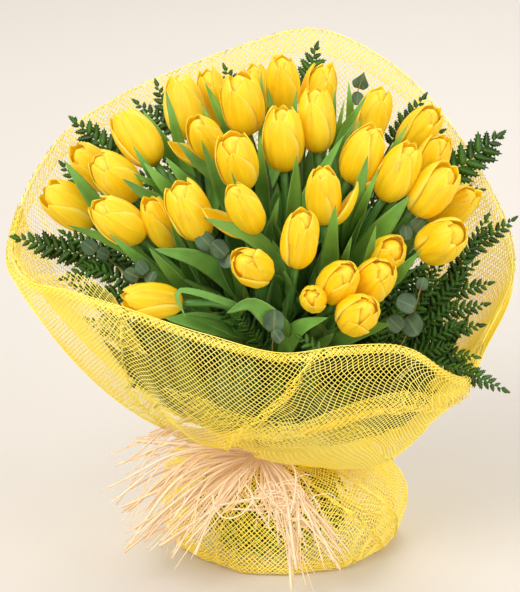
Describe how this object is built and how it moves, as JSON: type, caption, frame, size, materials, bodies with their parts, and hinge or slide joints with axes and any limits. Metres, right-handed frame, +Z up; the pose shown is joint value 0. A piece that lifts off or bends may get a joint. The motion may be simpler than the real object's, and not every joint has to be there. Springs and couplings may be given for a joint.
{
  "type": "bunch of tulips",
  "caption": "Hand-tied bunch of yellow tulips with fern and eucalyptus, wrapped in yellow net with a flared collar and a gathered skirt, tied with raffia and standing on its cut stem ends.",
  "frame": {"origin": "on the surface that the bunch stands on, at the cut end of the middle stem, below the tie", "axes": "+Z up through the tie, +X to the right as seen from the front, +Y to the back, where the collar is highest"},
  "size_m": [0.4656, 0.3608, 0.4598],
  "materials": {
    "petals": "satin",
    "stems_and_leaves": "satin",
    "fern": "satin",
    "eucalyptus": "matt",
    "net": "matt",
    "raffia": "matt"
  },
  "bodies": {
    "root": {"eucalyptus_sprig_01": "eucalyptus", "eucalyptus_sprig_02": "eucalyptus", "eucalyptus_sprig_03": "eucalyptus", "eucalyptus_sprig_04": "eucalyptus", "eucalyptus_sprig_05": "eucalyptus", "eucalyptus_sprig_06": "eucalyptus", "eucalyptus_sprig_07": "eucalyptus", "fern_frond_01": "fern", "fern_frond_02": "fern", "fern_frond_03": "fern", "fern_frond_04": "fern", "fern_frond_05": "fern", "fern_frond_06": "fern", "fern_frond_07": "fern", "fern_frond_08": "fern", "fern_frond_09": "fern", "fern_frond_10": "fern", "fern_frond_11": "fern", "fern_frond_12": "fern", "net_collar": "net", "net_front_fold": "net", "net_skirt": "net", "raffia_tails": "raffia", "raffia_tie": "raffia", "tulip_bloom_01": "petals", "tulip_bloom_02": "petals", "tulip_bloom_03": "petals", "tulip_bloom_04": "petals", "tulip_bloom_05": "petals", "tulip_bloom_06": "petals", "tulip_bloom_07": "petals", "tulip_bloom_08": "petals", "tulip_bloom_09": "petals", "tulip_bloom_10": "petals", "tulip_bloom_11": "petals", "tulip_bloom_12": "petals", "tulip_bloom_13": "petals", "tulip_bloom_14": "petals", "tulip_bloom_15": "petals", "tulip_bloom_16": "petals", "tulip_bloom_17": "petals", "tulip_bloom_18": "petals", "tulip_bloom_19": "petals", "tulip_bloom_20": "petals", "tulip_bloom_21": "petals", "tulip_bloom_22": "petals", "tulip_bloom_23": "petals", "tulip_bloom_24": "petals", "tulip_bloom_25": "petals", "tulip_bloom_26": "petals", "tulip_bloom_27": "petals", "tulip_bloom_28": "petals", "tulip_bloom_29": "petals", "tulip_bloom_30": "petals", "tulip_bloom_31": "petals", "tulip_bloom_32": "petals", "tulip_bloom_33": "petals", "tulip_bloom_34": "petals", "tulip_bloom_35": "petals", "tulip_stems_and_leaves": "stems_and_leaves"}
  },
  "joints": []
}
